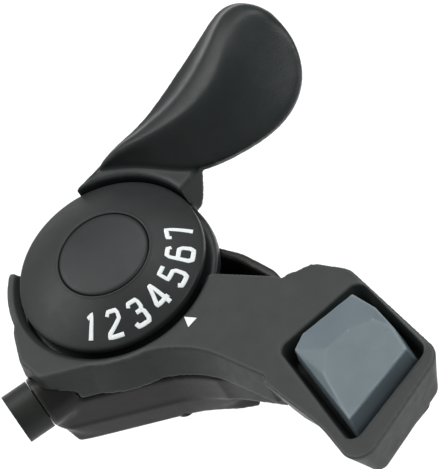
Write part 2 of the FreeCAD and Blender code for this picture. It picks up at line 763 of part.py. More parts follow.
def drive_pin_holes(name, extra="0"):
    """The two drive pins' positions, opposite each other across the shaft."""
    length = f"{cell('hub_bottom')} + {cell('hub_thickness')} - {cell('wheel_bottom')}"
    return [
        cylinder(f"{name}_drive_pin_{side}", f"{cell('drive_pin_radius')} + {extra}", length,
                 cell("wheel_bottom"), f"{sign}{cell('drive_pin_circle')}")
        for side, sign in (("right", ""), ("left", "-"))
    ]


# ---- Cable pulley and ratchet wheel ----------------------------------------------------


def cable_parts():
    """Grooved pulley with a pocket for the cable's end, and the toothed wheel under it."""
    wire = cell("groove_wire_radius")
    rim = cell("pulley_radius")
    top = f"{cell('pulley_bottom')} + {cell('pulley_thickness')}"
    pulley = turned("pulley", [
        (cell("bush_radius"), cell("pulley_bottom")),
        (rim, cell("pulley_bottom")),
        (rim, f"{cell('groove_height')} - {cell('groove_flare')}"),
        (cell("pulley_groove_radius"), f"{cell('groove_height')} - {wire}"),
        (cell("pulley_groove_radius"), f"{cell('groove_height')} + {wire}"),
        (rim, f"{cell('groove_height')} + {cell('groove_flare')}"),
        (rim, top),
        (cell("bush_radius"), top),
    ])
    anchor = cylinder("cable_anchor_pocket", cell("anchor_radius"), f"{cell('anchor_depth')} + 0.2",
                      f"{top} - {cell('anchor_depth')}",
                      "0", f"{cell('pulley_groove_radius')} - {cell('anchor_inset')}")
    holes = fuse("pulley_holes", [anchor] + drive_pin_holes("pulley"))
    finish(cut("pulley_moulding", pulley, holes), "cable_pulley")

    teeth = []
    for number in range(int(size("gear_count"))):
        tooth = cylinder(f"wheel_notch_{number}", cell("notch_radius"), f"{cell('wheel_thickness')} + 1",
                         f"{cell('wheel_bottom')} - 0.5")
        angle = f"({number} - 3) * {cell('gear_step')} + {cell('gear_middle')}"
        circle = f"({cell('wheel_root_radius')} + {cell('notch_radius')})"
        tooth.setExpression("Placement.Base.x", f"{circle} * cos({angle})")
        tooth.setExpression("Placement.Base.y", f"{circle} * sin({angle})")
        teeth.append(tooth)
    disc = cylinder("wheel_disc", cell("wheel_radius"), cell("wheel_thickness"), cell("wheel_bottom"))
    bore = cylinder("wheel_bore", cell("bush_radius"), f"{cell('wheel_thickness')} + 1",
                    f"{cell('wheel_bottom')} - 0.5")
    finish(cut("wheel_blank", disc, fuse("wheel_cuts", teeth + [bore] + drive_pin_holes("wheel"))),
           "index_wheel")
    pins = doc.addObject("Part::Compound", "drive_pin_pair")
    pins.Links = drive_pin_holes("steel")
    finish(pins, "drive_pins")


# ---- Casing ----------------------------------------------------------------------------


def outlet_solid(name, radius, length, start):
    """A cylinder on the cable outlet's axis, starting a distance out from the dial axis."""
    heading = size("outlet_heading")
    solid = doc.addObject("Part::Cylinder", name)
    solid.setExpression("Radius", radius)
    solid.setExpression("Height", length)
    turn = FreeCAD.Rotation(FreeCAD.Vector(0, 0, 1), heading)
    solid.Placement.Rotation = turn.multiply(FreeCAD.Rotation(FreeCAD.Vector(0, 1, 0), 90))
    offset = cell("outlet_offset")
    solid.setExpression("Placement.Base.x", f"({start}) * cos({heading}) - {offset} * sin({heading})")
    solid.setExpression("Placement.Base.y", f"({start}) * sin({heading}) + {offset} * cos({heading})")
    solid.setExpression("Placement.Base.z", cell("outlet_height"))
    return solid


def top_cover():
    """Upper shell: a drafted ring round the dial and an arm out to the button's pod."""
    body = new_body("cover")
    height = f"{cell('cover_top')} - {cell('parting_height')}"
    arm = sketch_on(body, "cover_arm", cell("parting_height"))
    add_polygon(arm, outline("cover"))
    pad(body, arm, height, f"-{cell('cover_draft')}")
    ring_sketch = sketch_on(body, "cover_ring", cell("parting_height"))
    add_circle(ring_sketch, cell("cover_ring_radius"))
    pad(body, ring_sketch, height, f"-{cell('cover_draft')}")
    lobe = sketch_on(body, "cover_lobe", cell("lobe_top"))
    add_polygon(lobe, outline("lobe"))
    pad(body, lobe, cell("lobe_depth"), cell("lobe_draft"), downward=True)

    under = size("lobe_top") - size("lobe_depth")
    round_edges(body, cell("lobe_rounding"), lambda edge: lies_at(edge, under))

    recess = sketch_on(body, "dial_recess", cell("cover_top"))
    add_circle(recess, cell("recess_radius"))
    pocket(body, recess, cell("deep_cut"))
    bore = sketch_on(body, "hub_bore", cell("parting_height"))
    add_circle(bore, cell("cover_bore"))
    pocket(body, bore, f"{cell('cover_bore_top')} - {cell('parting_height')}", upward=True)
    arm_cavity = sketch_on(body, "arm_hollow", cell("parting_height"))
    add_polygon(arm_cavity, outline("arm_cavity"))
    pocket(body, arm_cavity, f"{cell('arm_cavity_top')} - {cell('parting_height')}", upward=True)
    lobe_cavity = sketch_on(body, "pod_hollow", f"{cell('lobe_top')} - {cell('lobe_depth')}")
    add_polygon(lobe_cavity, outline("lobe_cavity"))
    pocket(body, lobe_cavity, f"{cell('lobe_cavity_top')} - ({cell('lobe_top')} - {cell('lobe_depth')})",
           upward=True)
    well = sketch_on(body, "button_well", cell("lobe_top"))
    add_polygon(well, outline("well"))
    pocket(body, well, cell("well_depth"), draft=cell("well_draft"))
    guide = sketch_on(body, "stem_guide", cell("lobe_top"))
    add_circle(guide, f"{cell('stem_radius')} + {cell('stem_fit')}", cell("button_x"), cell("button_y"))
    pocket(body, guide, cell("guide_cut"))

    round_edges(body, cell("recess_bevel"), is_recess_mouth, "Chamfer")

    opening = sketch_on(body, "lever_opening", cell("cover_top"))
    reach = cell("cutout_reach")
    first, last = cell("cutout_start"), cell("cutout_end")
    add_polygon(opening, [
        ("0", "0"),
        (f"{reach} * cos({first})", f"{reach} * sin({first})"),
        (reach, reach),
        (f"-{reach}", reach),
        (f"{reach} * cos({last})", f"{reach} * sin({last})"),
    ])
    pocket(body, opening, cell("deep_cut"))

    bosses = sketch_on(body, "cover_screw_bosses", cell("parting_height"))
    for across, along in CASE_SCREWS[1:]:
        add_circle(bosses, f"{cell('screw_radius')} + {cell('screw_wall')}", str(across), str(along))
    pad(body, bosses, f"{cell('arm_cavity_top')} - {cell('parting_height')} + 0.2")
    pilots = sketch_on(body, "cover_screw_pilots", cell("parting_height"))
    for across, along in CASE_SCREWS:
        add_circle(pilots, cell("screw_radius"), str(across), str(along))
    pocket(body, pilots, cell("screw_pilot_depth"), upward=True)
    boss_room = outlet_solid("cover_outlet_room", f"{cell('boss_radius')} + {cell('case_gap')}",
                             f"{cell('boss_length')} + 12", f"{cell('boss_start')} - 0.2")
    finish(cut("cover_moulding", body, boss_room), "top_cover")


def lower_housing():
    """Lower shell: floor, walls, a belly under the front and the cable outlet's boss."""
    body = new_body("housing")
    floor_height = cell("housing_bottom")
    top = f"{cell('parting_height')} - {cell('case_gap')}"
    plan = sketch_on(body, "housing_plan", floor_height)
    add_polygon(plan, outline("housing"))
    pad(body, plan, f"{top} - {floor_height}")
    disc = sketch_on(body, "housing_disc", floor_height)
    add_circle(disc, cell("housing_radius"))
    pad(body, disc, f"{top} - {floor_height}")
    belly = sketch_on(body, "housing_belly", floor_height)
    add_polygon(belly, outline("belly"))
    pad(body, belly, cell("belly_depth"), cell("belly_draft"), downward=True)
    lip = sketch_on(body, "housing_lip", top)
    add_polygon(lip, outline("lip"))
    pad(body, lip, f"{cell('housing_wall_top')} - ({top})")
    inside_floor = cell("plate_bottom")
    hollow = sketch_on(body, "housing_hollow", inside_floor)
    add_polygon(hollow, outline("housing_cavity"))
    pocket(body, hollow, cell("deep_cut"), upward=True)
    bore = sketch_on(body, "housing_bore_sketch", inside_floor)
    add_circle(bore, cell("housing_bore"))
    pocket(body, bore, cell("deep_cut"), upward=True)
    belly_hollow = sketch_on(body, "belly_hollow", inside_floor)
    add_polygon(belly_hollow, outline("belly_cavity"))
    pocket(body, belly_hollow, cell("belly_depth"))
    window = sketch_on(body, "neck_window", inside_floor)
    half_width = f"({cell('clamp_width')} / 2 + {cell('case_gap')})"
    half_depth = f"({cell('neck_depth')} / 2 + {cell('case_gap')})"
    add_polygon(window, [
        (f"{BAR_X} - {half_width}", f"{BAR_Y} - {half_depth}"),
        (f"{BAR_X} + {half_width}", f"{BAR_Y} - {half_depth}"),
        (f"{BAR_X} + {half_width}", f"{BAR_Y} + {half_depth}"),
        (f"{BAR_X} - {half_width}", f"{BAR_Y} + {half_depth}"),
    ])
    pocket(body, window, cell("window_cut"))
    columns = sketch_on(body, "housing_screw_columns", inside_floor)
    for across, along in CASE_SCREWS[1:]:
        add_circle(columns, f"{cell('screw_radius')} + {cell('screw_wall')}", str(across), str(along))
    pad(body, columns, f"{top} - {inside_floor}")
    holes = sketch_on(body, "housing_screw_holes", top)
    for across, along in CASE_SCREWS:
        add_circle(holes, cell("screw_radius"), str(across), str(along))
    pocket(body, holes, cell("guide_cut"))

    boss = outlet_solid("outlet_boss", cell("boss_radius"), cell("boss_length"), cell("boss_start"))
    bored = outlet_solid("outlet_bore", f"{cell('barrel_shank_radius')} + {cell('barrel_fit')}",
                         f"{cell('boss_length')} + 2", f"{cell('boss_start')} - 1")
    head_room = outlet_solid("outlet_head_room", f"{cell('barrel_radius')} + 0.3", "12",
                             f"{cell('boss_start')} + {cell('boss_length')}")
    shell = cut("housing_shell", body, head_room)
    finish(cut("housing_moulding", fuse("housing_with_boss", [shell, boss]), bored), "lower_housing")


def pod_base():
    """Snap-in plate that closes the underside of the button's pod."""
    body = new_body("base")
    plate_foot = f"{cell('lobe_top')} - {cell('lobe_depth')} - {cell('base_thickness')}"
    plan = sketch_on(body, "base_plan", plate_foot)
    add_polygon(plan, outline("base"))
    pad(body, plan, cell("base_thickness"))
    finish(body, "pod_base")


def case_screws():
    """Self-tapping screws, driven up through the housing's floor into the cover."""
    screws = []
    bottoms = {0: cell("housing_bottom"), 1: f"{cell('housing_bottom')} - {cell('belly_depth')}",
               2: cell("housing_bottom")}
    for number, (across, along) in enumerate(CASE_SCREWS):
        bottom = bottoms[number]
        head = cylinder(f"screw_head_{number}", cell("screw_head_radius"), cell("screw_head_height"),
                        f"{bottom} - {cell('screw_head_height')}", str(across), str(along))
        tip = f"({cell('parting_height')} + {cell('screw_grip')})"
        shank = cylinder(f"screw_shank_{number}", cell("screw_radius"), f"{tip} - ({bottom})", bottom,
                         str(across), str(along))
        screws.append(fuse(f"screw_{number}", [head, shank]))
    group = doc.addObject("Part::Compound", "screw_group")
    group.Links = screws
    finish(group, "case_screws")


# ---- Cable adjuster --------------------------------------------------------------------


def cable_adjuster():
    """Barrel that turns in the outlet's boss, with a socket for the cable casing."""
    face = f"({cell('boss_start')} + {cell('boss_length')} + {cell('barrel_gap')})"
    head = outlet_solid("barrel_head", cell("barrel_radius"), cell("barrel_length"), face)
    shank = outlet_solid("barrel_shank", cell("barrel_shank_radius"), f"{cell('barrel_shank_length')} + 1",
                         f"{face} - {cell('barrel_shank_length')}")
    socket = outlet_solid("casing_socket", cell("casing_socket_radius"), cell("casing_socket_depth"),
                          f"{face} + {cell('barrel_length')} - {cell('casing_socket_depth')}")
    passage = outlet_solid("cable_passage", cell("cable_hole_radius"), cell("deep_cut"),
                           f"{face} - {cell('barrel_shank_length')} - 1")
    finish(cut("barrel_turned", fuse("barrel_solid", [head, shank]), fuse("barrel_bores", [socket, passage])),
           "adjuster_barrel")


# ---- Release button, holding pawl and springs ------------------------------------------


def release_button():
    """Faceted thumb button on a round stem with a coned foot, and the clip that keeps it in."""
    body = new_body("button")
    cap = sketch_on(body, "button_cap", cell("button_bottom"))
    add_polygon(cap, outline("button"))
    pad(body, cap, cell("button_height"), cell("button_crown_draft"))
    stem = cylinder("button_stem", cell("stem_radius"),
                    f"{cell('button_bottom')} - {cell('stem_bottom')} + 1",
                    cell("stem_bottom"), cell("button_x"), cell("button_y"))
    foot = doc.addObject("Part::Cone", "stem_foot")
    foot.setExpression("Radius1", cell("stem_tip_radius"))
    foot.setExpression("Radius2", cell("stem_radius"))
    foot.setExpression("Height", cell("stem_tip_height"))
    foot.setExpression("Placement.Base.x", cell("button_x"))
    foot.setExpression("Placement.Base.y", cell("button_y"))
    foot.setExpression("Placement.Base.z", f"{cell('stem_bottom')} - {cell('stem_tip_height')}")
    finish(fuse("button_moulding", [body, stem, foot]), "release_button")
    finish(ring("clip", cell("clip_radius"), cell("stem_radius"), cell("clip_thickness"),
                f"{cell('lobe_cavity_top')} - {cell('clip_thickness')} - 0.1",
                cell("button_x"), cell("button_y")), "stem_clip")
    finish(coil("button_coil", cell("button_spring_radius"), cell("button_spring_wire"),
                cell("button_spring_pitch"), cell("button_spring_height"),
                f"{cell('lobe_top')} - {cell('well_depth')} + {cell('button_spring_wire')}",
                cell("button_x"), cell("button_y")), "button_spring")


def pawl_parts():
    """Holding pawl, the pin that it turns on and its return spring."""
    body = new_body("pawl")
    plan = sketch_on(body, "pawl_plan", cell("pawl_bottom"))
    add_polygon(plan, outline("pawl"))
    pad(body, plan, cell("pawl_thickness"))
    hub = cylinder("pawl_hub", cell("pawl_hub_radius"), cell("pawl_thickness"), cell("pawl_bottom"),
                   cell("pawl_pivot_x"), cell("pawl_pivot_y"))
    hole = cylinder("pawl_hole", f"{cell('pawl_pin_radius')} + {cell('pawl_fit')}",
                    f"{cell('pawl_thickness')} + 2", f"{cell('pawl_bottom')} - 1",
                    cell("pawl_pivot_x"), cell("pawl_pivot_y"))
    finish(cut("pawl_stamping", fuse("pawl_solid", [body, hub]), hole), "holding_pawl")
    pin = cylinder("pin_bar", cell("pawl_pin_radius"), cell("pawl_pin_length"),
                   f"{cell('plate_bottom')} + 0.1", cell("pawl_pivot_x"), cell("pawl_pivot_y"))
    holder = doc.addObject("Part::Compound", "pin_group")
    holder.Links = [pin]
    finish(holder, "pawl_pin")
    finish(coil("pawl_coil", cell("pawl_spring_radius"), cell("pawl_spring_wire"),
                cell("pawl_spring_pitch"), cell("pawl_spring_height"),
                f"{cell('pawl_bottom')} + {cell('pawl_thickness')} + {cell('pawl_spring_wire')} + 0.2",
                cell("pawl_pivot_x"), cell("pawl_pivot_y")), "pawl_spring")


def return_spring():
    """Torsion coil round the dial's boss, above the lever's hub plate."""
    finish(coil("return_coil", cell("return_spring_radius"), cell("return_spring_wire"),
                cell("return_spring_pitch"), cell("return_spring_height"),
                f"{cell('hub_bottom')} + {cell('hub_thickness')} + {cell('return_spring_wire')} + 0.1"),
           "return_spring")


clamp_bracket()
clamp_fasteners()
shaft_parts()
dial_parts()
thumb_lever()
cable_parts()
top_cover()
lower_housing()
pod_base()
case_screws()
cable_adjuster()
release_button()
pawl_parts()
return_spring()
doc.recompute()

# ---- Checks and export -----------------------------------------------------------------

for item in doc.Objects:
    if "Invalid" in item.State or "Error" in item.State:
        raise RuntimeError(f"{item.Name} did not rebuild: {item.State}")

os.makedirs("parts", exist_ok=True)
for part in finished:
    shape = part.Shape
    if shape.isNull() or not shape.isValid() or not shape.Solids:
        raise RuntimeError(f"{part.Label} has no sound solid")
    shape.exportStep(f"parts/{part.Label}.step")
    box = shape.BoundBox
    print(f"{part.Label:18s} solids {len(shape.Solids)} volume {shape.Volume:9.2f}  "
          f"x {box.XMin:.1f}..{box.XMax:.1f} y {box.YMin:.1f}..{box.YMax:.1f} "
          f"z {box.ZMin:.1f}..{box.ZMax:.1f}")
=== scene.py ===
import math

import bmesh
import bpy
from mathutils import Matrix, Vector


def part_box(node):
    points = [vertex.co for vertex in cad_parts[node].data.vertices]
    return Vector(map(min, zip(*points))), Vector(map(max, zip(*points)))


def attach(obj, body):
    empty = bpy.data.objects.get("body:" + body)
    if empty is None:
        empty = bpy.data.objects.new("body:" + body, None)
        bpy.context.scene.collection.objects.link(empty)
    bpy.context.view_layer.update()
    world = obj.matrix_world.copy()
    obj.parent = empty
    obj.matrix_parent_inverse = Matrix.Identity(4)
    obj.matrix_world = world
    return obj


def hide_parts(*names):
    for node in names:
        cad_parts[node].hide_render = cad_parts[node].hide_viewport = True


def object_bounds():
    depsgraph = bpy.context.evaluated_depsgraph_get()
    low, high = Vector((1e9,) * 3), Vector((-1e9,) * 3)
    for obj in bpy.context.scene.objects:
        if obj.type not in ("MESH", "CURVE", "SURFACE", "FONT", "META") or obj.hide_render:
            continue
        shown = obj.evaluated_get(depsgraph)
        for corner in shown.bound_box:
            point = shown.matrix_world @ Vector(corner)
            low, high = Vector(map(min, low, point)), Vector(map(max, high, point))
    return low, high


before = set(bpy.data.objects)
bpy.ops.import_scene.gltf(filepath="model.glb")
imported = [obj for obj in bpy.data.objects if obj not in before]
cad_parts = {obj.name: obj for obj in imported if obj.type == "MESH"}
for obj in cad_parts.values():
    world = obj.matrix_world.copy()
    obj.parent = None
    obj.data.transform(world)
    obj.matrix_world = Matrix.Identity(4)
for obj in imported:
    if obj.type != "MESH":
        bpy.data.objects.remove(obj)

cad_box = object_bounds()

# ---- Camera, floor and lights ----------------------------------------------------------
# The shifter is looked down on from its front right, with the floor far enough below the
# handlebar clamp to stay clear of it. Three broad lamps and an even white surround light it
# softly, from behind the lever, from above and from the right.

MM = 0.001
dial_low, dial_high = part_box("number_dial")
DIAL_RISE = 3.9 * MM
dial_centre = Vector((
    (dial_low.x + dial_high.x) / 2,
    (dial_low.y + dial_high.y) / 2,
    dial_high.z - DIAL_RISE,
))


def spot(across, along, up):
    """A point given in millimetres from the dial's centre, at the height of its rim."""
    return dial_centre + Vector((across, along, up)) * MM


view_back = Vector((0.280, -0.579, 0.766)).normalized()
view_right = Vector((0.235, 0.814, 0.530)).cross(view_back).normalized()
view_up = view_back.cross(view_right).normalized()
VIEW_DISTANCE = 3.0
VIEW_HEIGHT = 0.08527
AIM_RIGHT = 19.98
AIM_UP = 5.62
camera_data = bpy.data.cameras.new("camera")
camera_data.sensor_width = 36.0
camera_data.lens = camera_data.sensor_width * VIEW_DISTANCE / VIEW_HEIGHT
camera_data.clip_start = 0.05
camera_data.clip_end = 20.0
camera = bpy.data.objects.new("camera", camera_data)
bpy.context.scene.collection.objects.link(camera)
aim = dial_centre + (view_right * AIM_RIGHT + view_up * AIM_UP) * MM
turn = Matrix((view_right, view_up, view_back)).transposed()
camera.matrix_world = Matrix.Translation(aim + view_back * VIEW_DISTANCE) @ turn.to_4x4()
bpy.context.scene.camera = camera

FLOOR_GAP = 45.0 * MM
FLOOR_SIZE = 6.0
floor_mesh = bmesh.new()
bmesh.ops.create_grid(floor_mesh, x_segments=2, y_segments=2, size=FLOOR_SIZE)
bmesh.ops.translate(floor_mesh, verts=floor_mesh.verts, vec=(0, 0, cad_box[0].z - FLOOR_GAP))


def placed(mesh, name, smooth=True):
    """Turn a finished bmesh into an object that sits at the origin."""
    bmesh.ops.recalc_face_normals(mesh, faces=mesh.faces)
    data = bpy.data.meshes.new(name)
    mesh.to_mesh(data)
    mesh.free()
    for face in data.polygons:
        face.use_smooth = smooth
    piece = bpy.data.objects.new(name, data)
    bpy.context.scene.collection.objects.link(piece)
    return piece


floor = placed(floor_mesh, "floor", smooth=False)


class Level:
    """One value inside a material; sums written with it add Math nodes."""

    def __init__(self, paint, socket):
        self.paint = paint
        self.socket = socket

    def sum(self, operation, first, second, third=None):
        numbers = [first, second] if third is None else [first, second, third]
        return self.paint.add("ShaderNodeMath", {"operation": operation}, dict(enumerate(numbers)))

    def __add__(self, other):
        return self.sum("ADD", self, other)

    def __radd__(self, other):
        return self.sum("ADD", other, self)

    def __sub__(self, other):
        return self.sum("SUBTRACT", self, other)

    def __rsub__(self, other):
        return self.sum("SUBTRACT", other, self)

    def __mul__(self, other):
        return self.sum("MULTIPLY", self, other)

    def __rmul__(self, other):
        return self.sum("MULTIPLY", other, self)

    def __truediv__(self, other):
        return self.sum("DIVIDE", self, other)

    def __rtruediv__(self, other):
        return self.sum("DIVIDE", other, self)

    def __pow__(self, other):
        return self.sum("POWER", self, other)


class Paint:
    """A material while it is mixed: adds nodes and joins them to the surface."""

    FIRST_COLOUR = 6
    SECOND_COLOUR = 7
    MIXED_COLOUR = 2

    def __init__(self, name):
        self.material = bpy.data.materials.new(name)
        self.material.use_nodes = True
        self.tree = self.material.node_tree
        self.surface = self.tree.nodes["Principled BSDF"]

    def add(self, kind, settings=None, inputs=None, output=0):
        """Add a node, set it up, feed its inputs, and give back one of its outputs."""
        node = self.tree.nodes.new(kind)
        for setting, value in (settings or {}).items():
            setattr(node, setting, value)
        for socket, value in (inputs or {}).items():
            self.feed(node.inputs[socket], value)
        return Level(self, node.outputs[output])

    def feed(self, socket, value):
        if isinstance(value, Level):
            self.tree.links.new(value.socket, socket)
        else:
            socket.default_value = value

    def place(self):
        return self.add("ShaderNodeTexCoord", output="Object")

    def noise(self, scale, detail=3.0, roughness=0.5, where=None):
        """Soft random mottle between 0 and 1, with this many blotches to the metre."""
        inputs = {"Vector": where or self.place(), "Scale": scale, "Detail": detail, "Roughness": roughness}
        return self.add("ShaderNodeTexNoise", {}, inputs, "Fac")

    def spread(self, level, low, high, to_low=0.0, to_high=1.0):
        """Carry a level from one range to another and hold it between the new ends."""
        inputs = {"Value": level, "From Min": low, "From Max": high, "To Min": to_low, "To Max": to_high}
        return self.add("ShaderNodeMapRange", {"clamp": True}, inputs, "Result")

    def mix(self, factor, first, second):
        """Mix two colours, each a set of red, green, blue numbers or a level."""
        ends = [end if isinstance(end, Level) else (*end, 1.0) for end in (first, second)]
        node = self.tree.nodes.new("ShaderNodeMix")
        node.data_type = "RGBA"
        self.feed(node.inputs["Factor"], factor)
        self.feed(node.inputs[self.FIRST_COLOUR], ends[0])
        self.feed(node.inputs[self.SECOND_COLOUR], ends[1])
        return Level(self, node.outputs[self.MIXED_COLOUR])

    def bump(self, height, distance, strength=1.0, under=None):
        inputs = {"Height": height, "Distance": distance, "Strength": strength}
        if under is not None:
            inputs["Normal"] = under
        return self.add("ShaderNodeBump", {}, inputs, "Normal")

    def coat(self, **values):
        """Set or join the surface's own sockets, named with underscores for spaces."""
        for name, value in values.items():
            self.feed(self.surface.inputs[name.replace("_", " ")], value)
        return self.material


floor_paint = Paint("pale_floor")
PAPER_WHITE = (0.93, 0.93, 0.925)
PAPER_SHADE = (0.90, 0.90, 0.90)
paper_mottle = floor_paint.noise(30.0)
floor.data.materials.append(floor_paint.coat(
    Base_Color=floor_paint.mix(paper_mottle, PAPER_SHADE, PAPER_WHITE),
    Roughness=floor_paint.spread(paper_mottle, 0.3, 0.7, 0.8, 0.95),
    Normal=floor_paint.bump(floor_paint.noise(900.0), 0.00005),
    Specular_IOR_Level=0.1,
))


def area_lamp(name, place, size, power, colour=(1.0, 1.0, 1.0)):
    """A square soft lamp that faces the dial."""
    lamp_data = bpy.data.lights.new(name, "AREA")
    lamp_data.shape = "SQUARE"
    lamp_data.size = size
    lamp_data.energy = power
    lamp_data.color = colour
    lamp = bpy.data.objects.new(name, lamp_data)
    lamp.location = place
    lamp.rotation_mode = "QUATERNION"
    lamp.rotation_quaternion = (dial_centre - Vector(place)).to_track_quat("-Z", "Y")
    bpy.context.scene.collection.objects.link(lamp)
    return lamp


area_lamp("key_lamp", (-0.75, 0.35, 0.95), 0.8, 9.0)
area_lamp("top_lamp", (0.1, 0.7, 1.2), 0.8, 9.0)
area_lamp("right_lamp", (1.1, -0.1, 0.8), 0.6, 5.0, (0.95, 0.98, 1.0))
TENT_STRENGTH = 0.42
tent = bpy.data.worlds.new("tent")
tent.use_nodes = True
tent.node_tree.nodes["Background"].inputs["Color"].default_value = (1.0, 1.0, 1.0, 1.0)
tent.node_tree.nodes["Background"].inputs["Strength"].default_value = TENT_STRENGTH
bpy.context.scene.world = tent
bpy.context.scene.view_settings.view_transform = "Standard"

# ---- Top cover -------------------------------------------------------------------------
# The upper shell is moulded in black glass-filled nylon with a fine spark-eroded grain. The
# mould rounds its edges, and three screws from underneath hold it to the lower shell.

COVER_VOXEL = 0.3 * MM
COVER_PASSES = 12
# How sharp an edge must be to take the full paler edge colour, which is wear plus a painted highlight.
FULL_WEAR_AND_HIGHLIGHT = 900.0


def softened(node, name, voxel, passes, reshape):
    """A copy of a CAD part, reshaped point by point, with its edges rounded as a mould does."""
    mesh = bmesh.new()
    mesh.from_mesh(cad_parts[node].data)
    bmesh.ops.remove_doubles(mesh, verts=mesh.verts, dist=1e-6)
    piece = placed(mesh, name)
    remesh = piece.modifiers.new("even_skin", "REMESH")
    remesh.mode = "VOXEL"
    remesh.voxel_size = voxel
    remesh.use_smooth_shade = True
    settled(piece)
    for vertex in piece.data.vertices:
        local = (vertex.co - dial_centre) / MM
        vertex.co = spot(*reshape(local.x, local.y, local.z))
    relax = piece.modifiers.new("rounding", "SMOOTH")
    relax.factor = 0.5
    relax.iterations = passes
    return settled(piece)


def settled(piece):
    """Apply a piece's modifiers, so that its mesh is the finished shape."""
    bpy.context.view_layer.update()
    shaped = bpy.data.meshes.new_from_object(piece.evaluated_get(bpy.context.evaluated_depsgraph_get()))
    rough = piece.data
    piece.modifiers.clear()
    piece.data = shaped
    shaped.name = piece.name
    bpy.data.meshes.remove(rough)
    for face in shaped.polygons:
        face.use_smooth = True
    return piece


def mark_edges(piece, full_wear_and_highlight, passes=2):
    """Store how sharply each point of a piece stands out, for paler edges that show wear and a painted
    highlight.
    """
    mesh = bmesh.new()
    mesh.from_mesh(piece.data)
    mesh.normal_update()
    sharpness = []
    for vertex in mesh.verts:
        total = 0.0
        for edge in vertex.link_edges:
            other = edge.other_vert(vertex)
            step = other.co - vertex.co
            total += (other.normal - vertex.normal).dot(step) / max(step.length_squared, 1e-12)
        sharpness.append(total / max(len(vertex.link_edges), 1))
    for _ in range(passes):
        sharpness = [
            (
                sharpness[vertex.index]
                + sum(sharpness[edge.other_vert(vertex).index] for edge in vertex.link_edges)
            )
            / (len(vertex.link_edges) + 1)
            for vertex in mesh.verts
        ]
    mesh.free()
    # The stored value drives the paler edge colour: wear plus a painted highlight along the edges.
    wear_and_highlight = piece.data.attributes.new("edge_wear_and_highlight", "FLOAT", "POINT")
    wear_and_highlight.data.foreach_set("value", [min(max(value / full_wear_and_highlight, 0.0), 1.0) for value in sharpness])
    return piece


def moulded(name, dark, light, rough, grain=2600.0, depth=0.00002, wear_and_highlight=0.0, worn_and_lit=(0.1, 0.1, 0.1),
            shine=0.22):
    """Moulded plastic: faint mottle, a fine grained skin, scuffs, and paler edges that are partly wear,
    partly a painted highlight.
    """
    paint = Paint(name)
    where = paint.place()
    mottle = paint.noise(120.0, 4.0, 0.6, where)
    grained = paint.noise(grain, 2.0, 0.6, where)
    scuffs = paint.noise(420.0, 6.0, 0.75, where)
    colour = paint.mix(paint.spread(mottle, 0.3, 0.7), dark, light)
    finish = paint.spread(scuffs, 0.35, 0.7, rough - 0.05, rough + 0.07)
    # Sharp edges are painted paler: partly wear, partly a painted highlight along edges that catch the light.
    if wear_and_highlight:
        edge = paint.add("ShaderNodeAttribute", {"attribute_name": "edge_wear_and_highlight"}, {}, "Fac")
        rubbed_and_lit = paint.spread(edge * (0.4 + scuffs), 0.25, 1.0, 0.0, wear_and_highlight)
        colour = paint.mix(rubbed_and_lit, colour, worn_and_lit)
        finish = finish - rubbed_and_lit * 0.12
    broad = paint.bump(mottle, depth * 3, 0.6)
    normal = paint.bump(grained, depth, 1.0, broad)
    return paint.coat(Base_Color=colour, Roughness=finish, Normal=normal, Specular_IOR_Level=shine)


POD_CENTRE = (45.0, -33.0)
POD_START = 32.0
POD_FULL = 42.0
POD_TOP = -1.6
POD_TAPER = 0.0125
NOTCH_ROOT = (33.0, -11.2)
NOTCH_SLOPE = 0.296
NOTCH_END = 38.4
NOTCH_MARGIN = 1.0
NOTCH_LEFT = 0.06


def cover_shape(across, along, up):
    """Narrow the pod towards its foot, and take the sharp corner off behind the arm."""
    notch = NOTCH_ROOT[1] + NOTCH_SLOPE * (across - NOTCH_ROOT[0])
    if NOTCH_ROOT[0] - NOTCH_MARGIN < across < NOTCH_END and along > notch:
        along = notch + (along - notch) * NOTCH_LEFT
    share = min(max((across - POD_START) / (POD_FULL - POD_START), 0.0), 1.0)
    narrow = 1.0 - POD_TAPER * share * max(POD_TOP - up, 0.0)
    across = POD_CENTRE[0] + (across - POD_CENTRE[0]) * narrow
    along = POD_CENTRE[1] + (along - POD_CENTRE[1]) * narrow
    return across, along, up


cover = mark_edges(softened("top_cover", "cover_shell", COVER_VOXEL, COVER_PASSES, cover_shape), FULL_WEAR_AND_HIGHLIGHT)
COVER_DARK = (0.020, 0.024, 0.022)
COVER_LIGHT = (0.026, 0.031, 0.029)
cover.data.materials.clear()
# Paler colour for the cover's sharp edges: partly wear, partly a painted edge highlight.
COVER_WORN_AND_LIT = (0.12, 0.13, 0.12)
cover.data.materials.append(moulded("cover_nylon", COVER_DARK, COVER_LIGHT, 0.46, wear_and_highlight=0.35, worn_and_lit=COVER_WORN_AND_LIT))
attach(cover, "bracket")
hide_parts("top_cover")

# ---- Dial ------------------------------------------------------------------------------
# The round dial is moulded in the same black nylon as a shallow cone. It turns with the
# lever, and its seven figures are printed in thick white ink.

DIAL_EDGE = 18.0
DIAL_SEAM = 8.95
DIAL_SEAM_TOP = 3.9
DIAL_SEGMENTS = 160


def turned(outline, name, segments=DIAL_SEGMENTS):
    """Spin an outline of (radius, height) millimetres about the dial's axis."""
    mesh = bmesh.new()
    points = [mesh.verts.new(spot(radius, 0, height)) for radius, height in outline]
    edges = [mesh.edges.new(pair) for pair in zip(points, points[1:] + points[:1])]
    bmesh.ops.spin(
        mesh, geom=points + edges, cent=dial_centre, axis=(0, 0, 1), angle=math.tau,
        steps=segments, use_merge=True,
    )
    bmesh.ops.remove_doubles(mesh, verts=mesh.verts, dist=1e-7)
    return placed(mesh, name)


def cone_height(radius):
    """How high the dial's slightly crowned face stands at a radius, in millimetres."""
    CROWN = 0.22
    part = (DIAL_EDGE - radius) / (DIAL_EDGE - DIAL_SEAM)
    return DIAL_SEAM_TOP * part + CROWN * math.sin(math.pi * min(max(part, 0.0), 1.0))


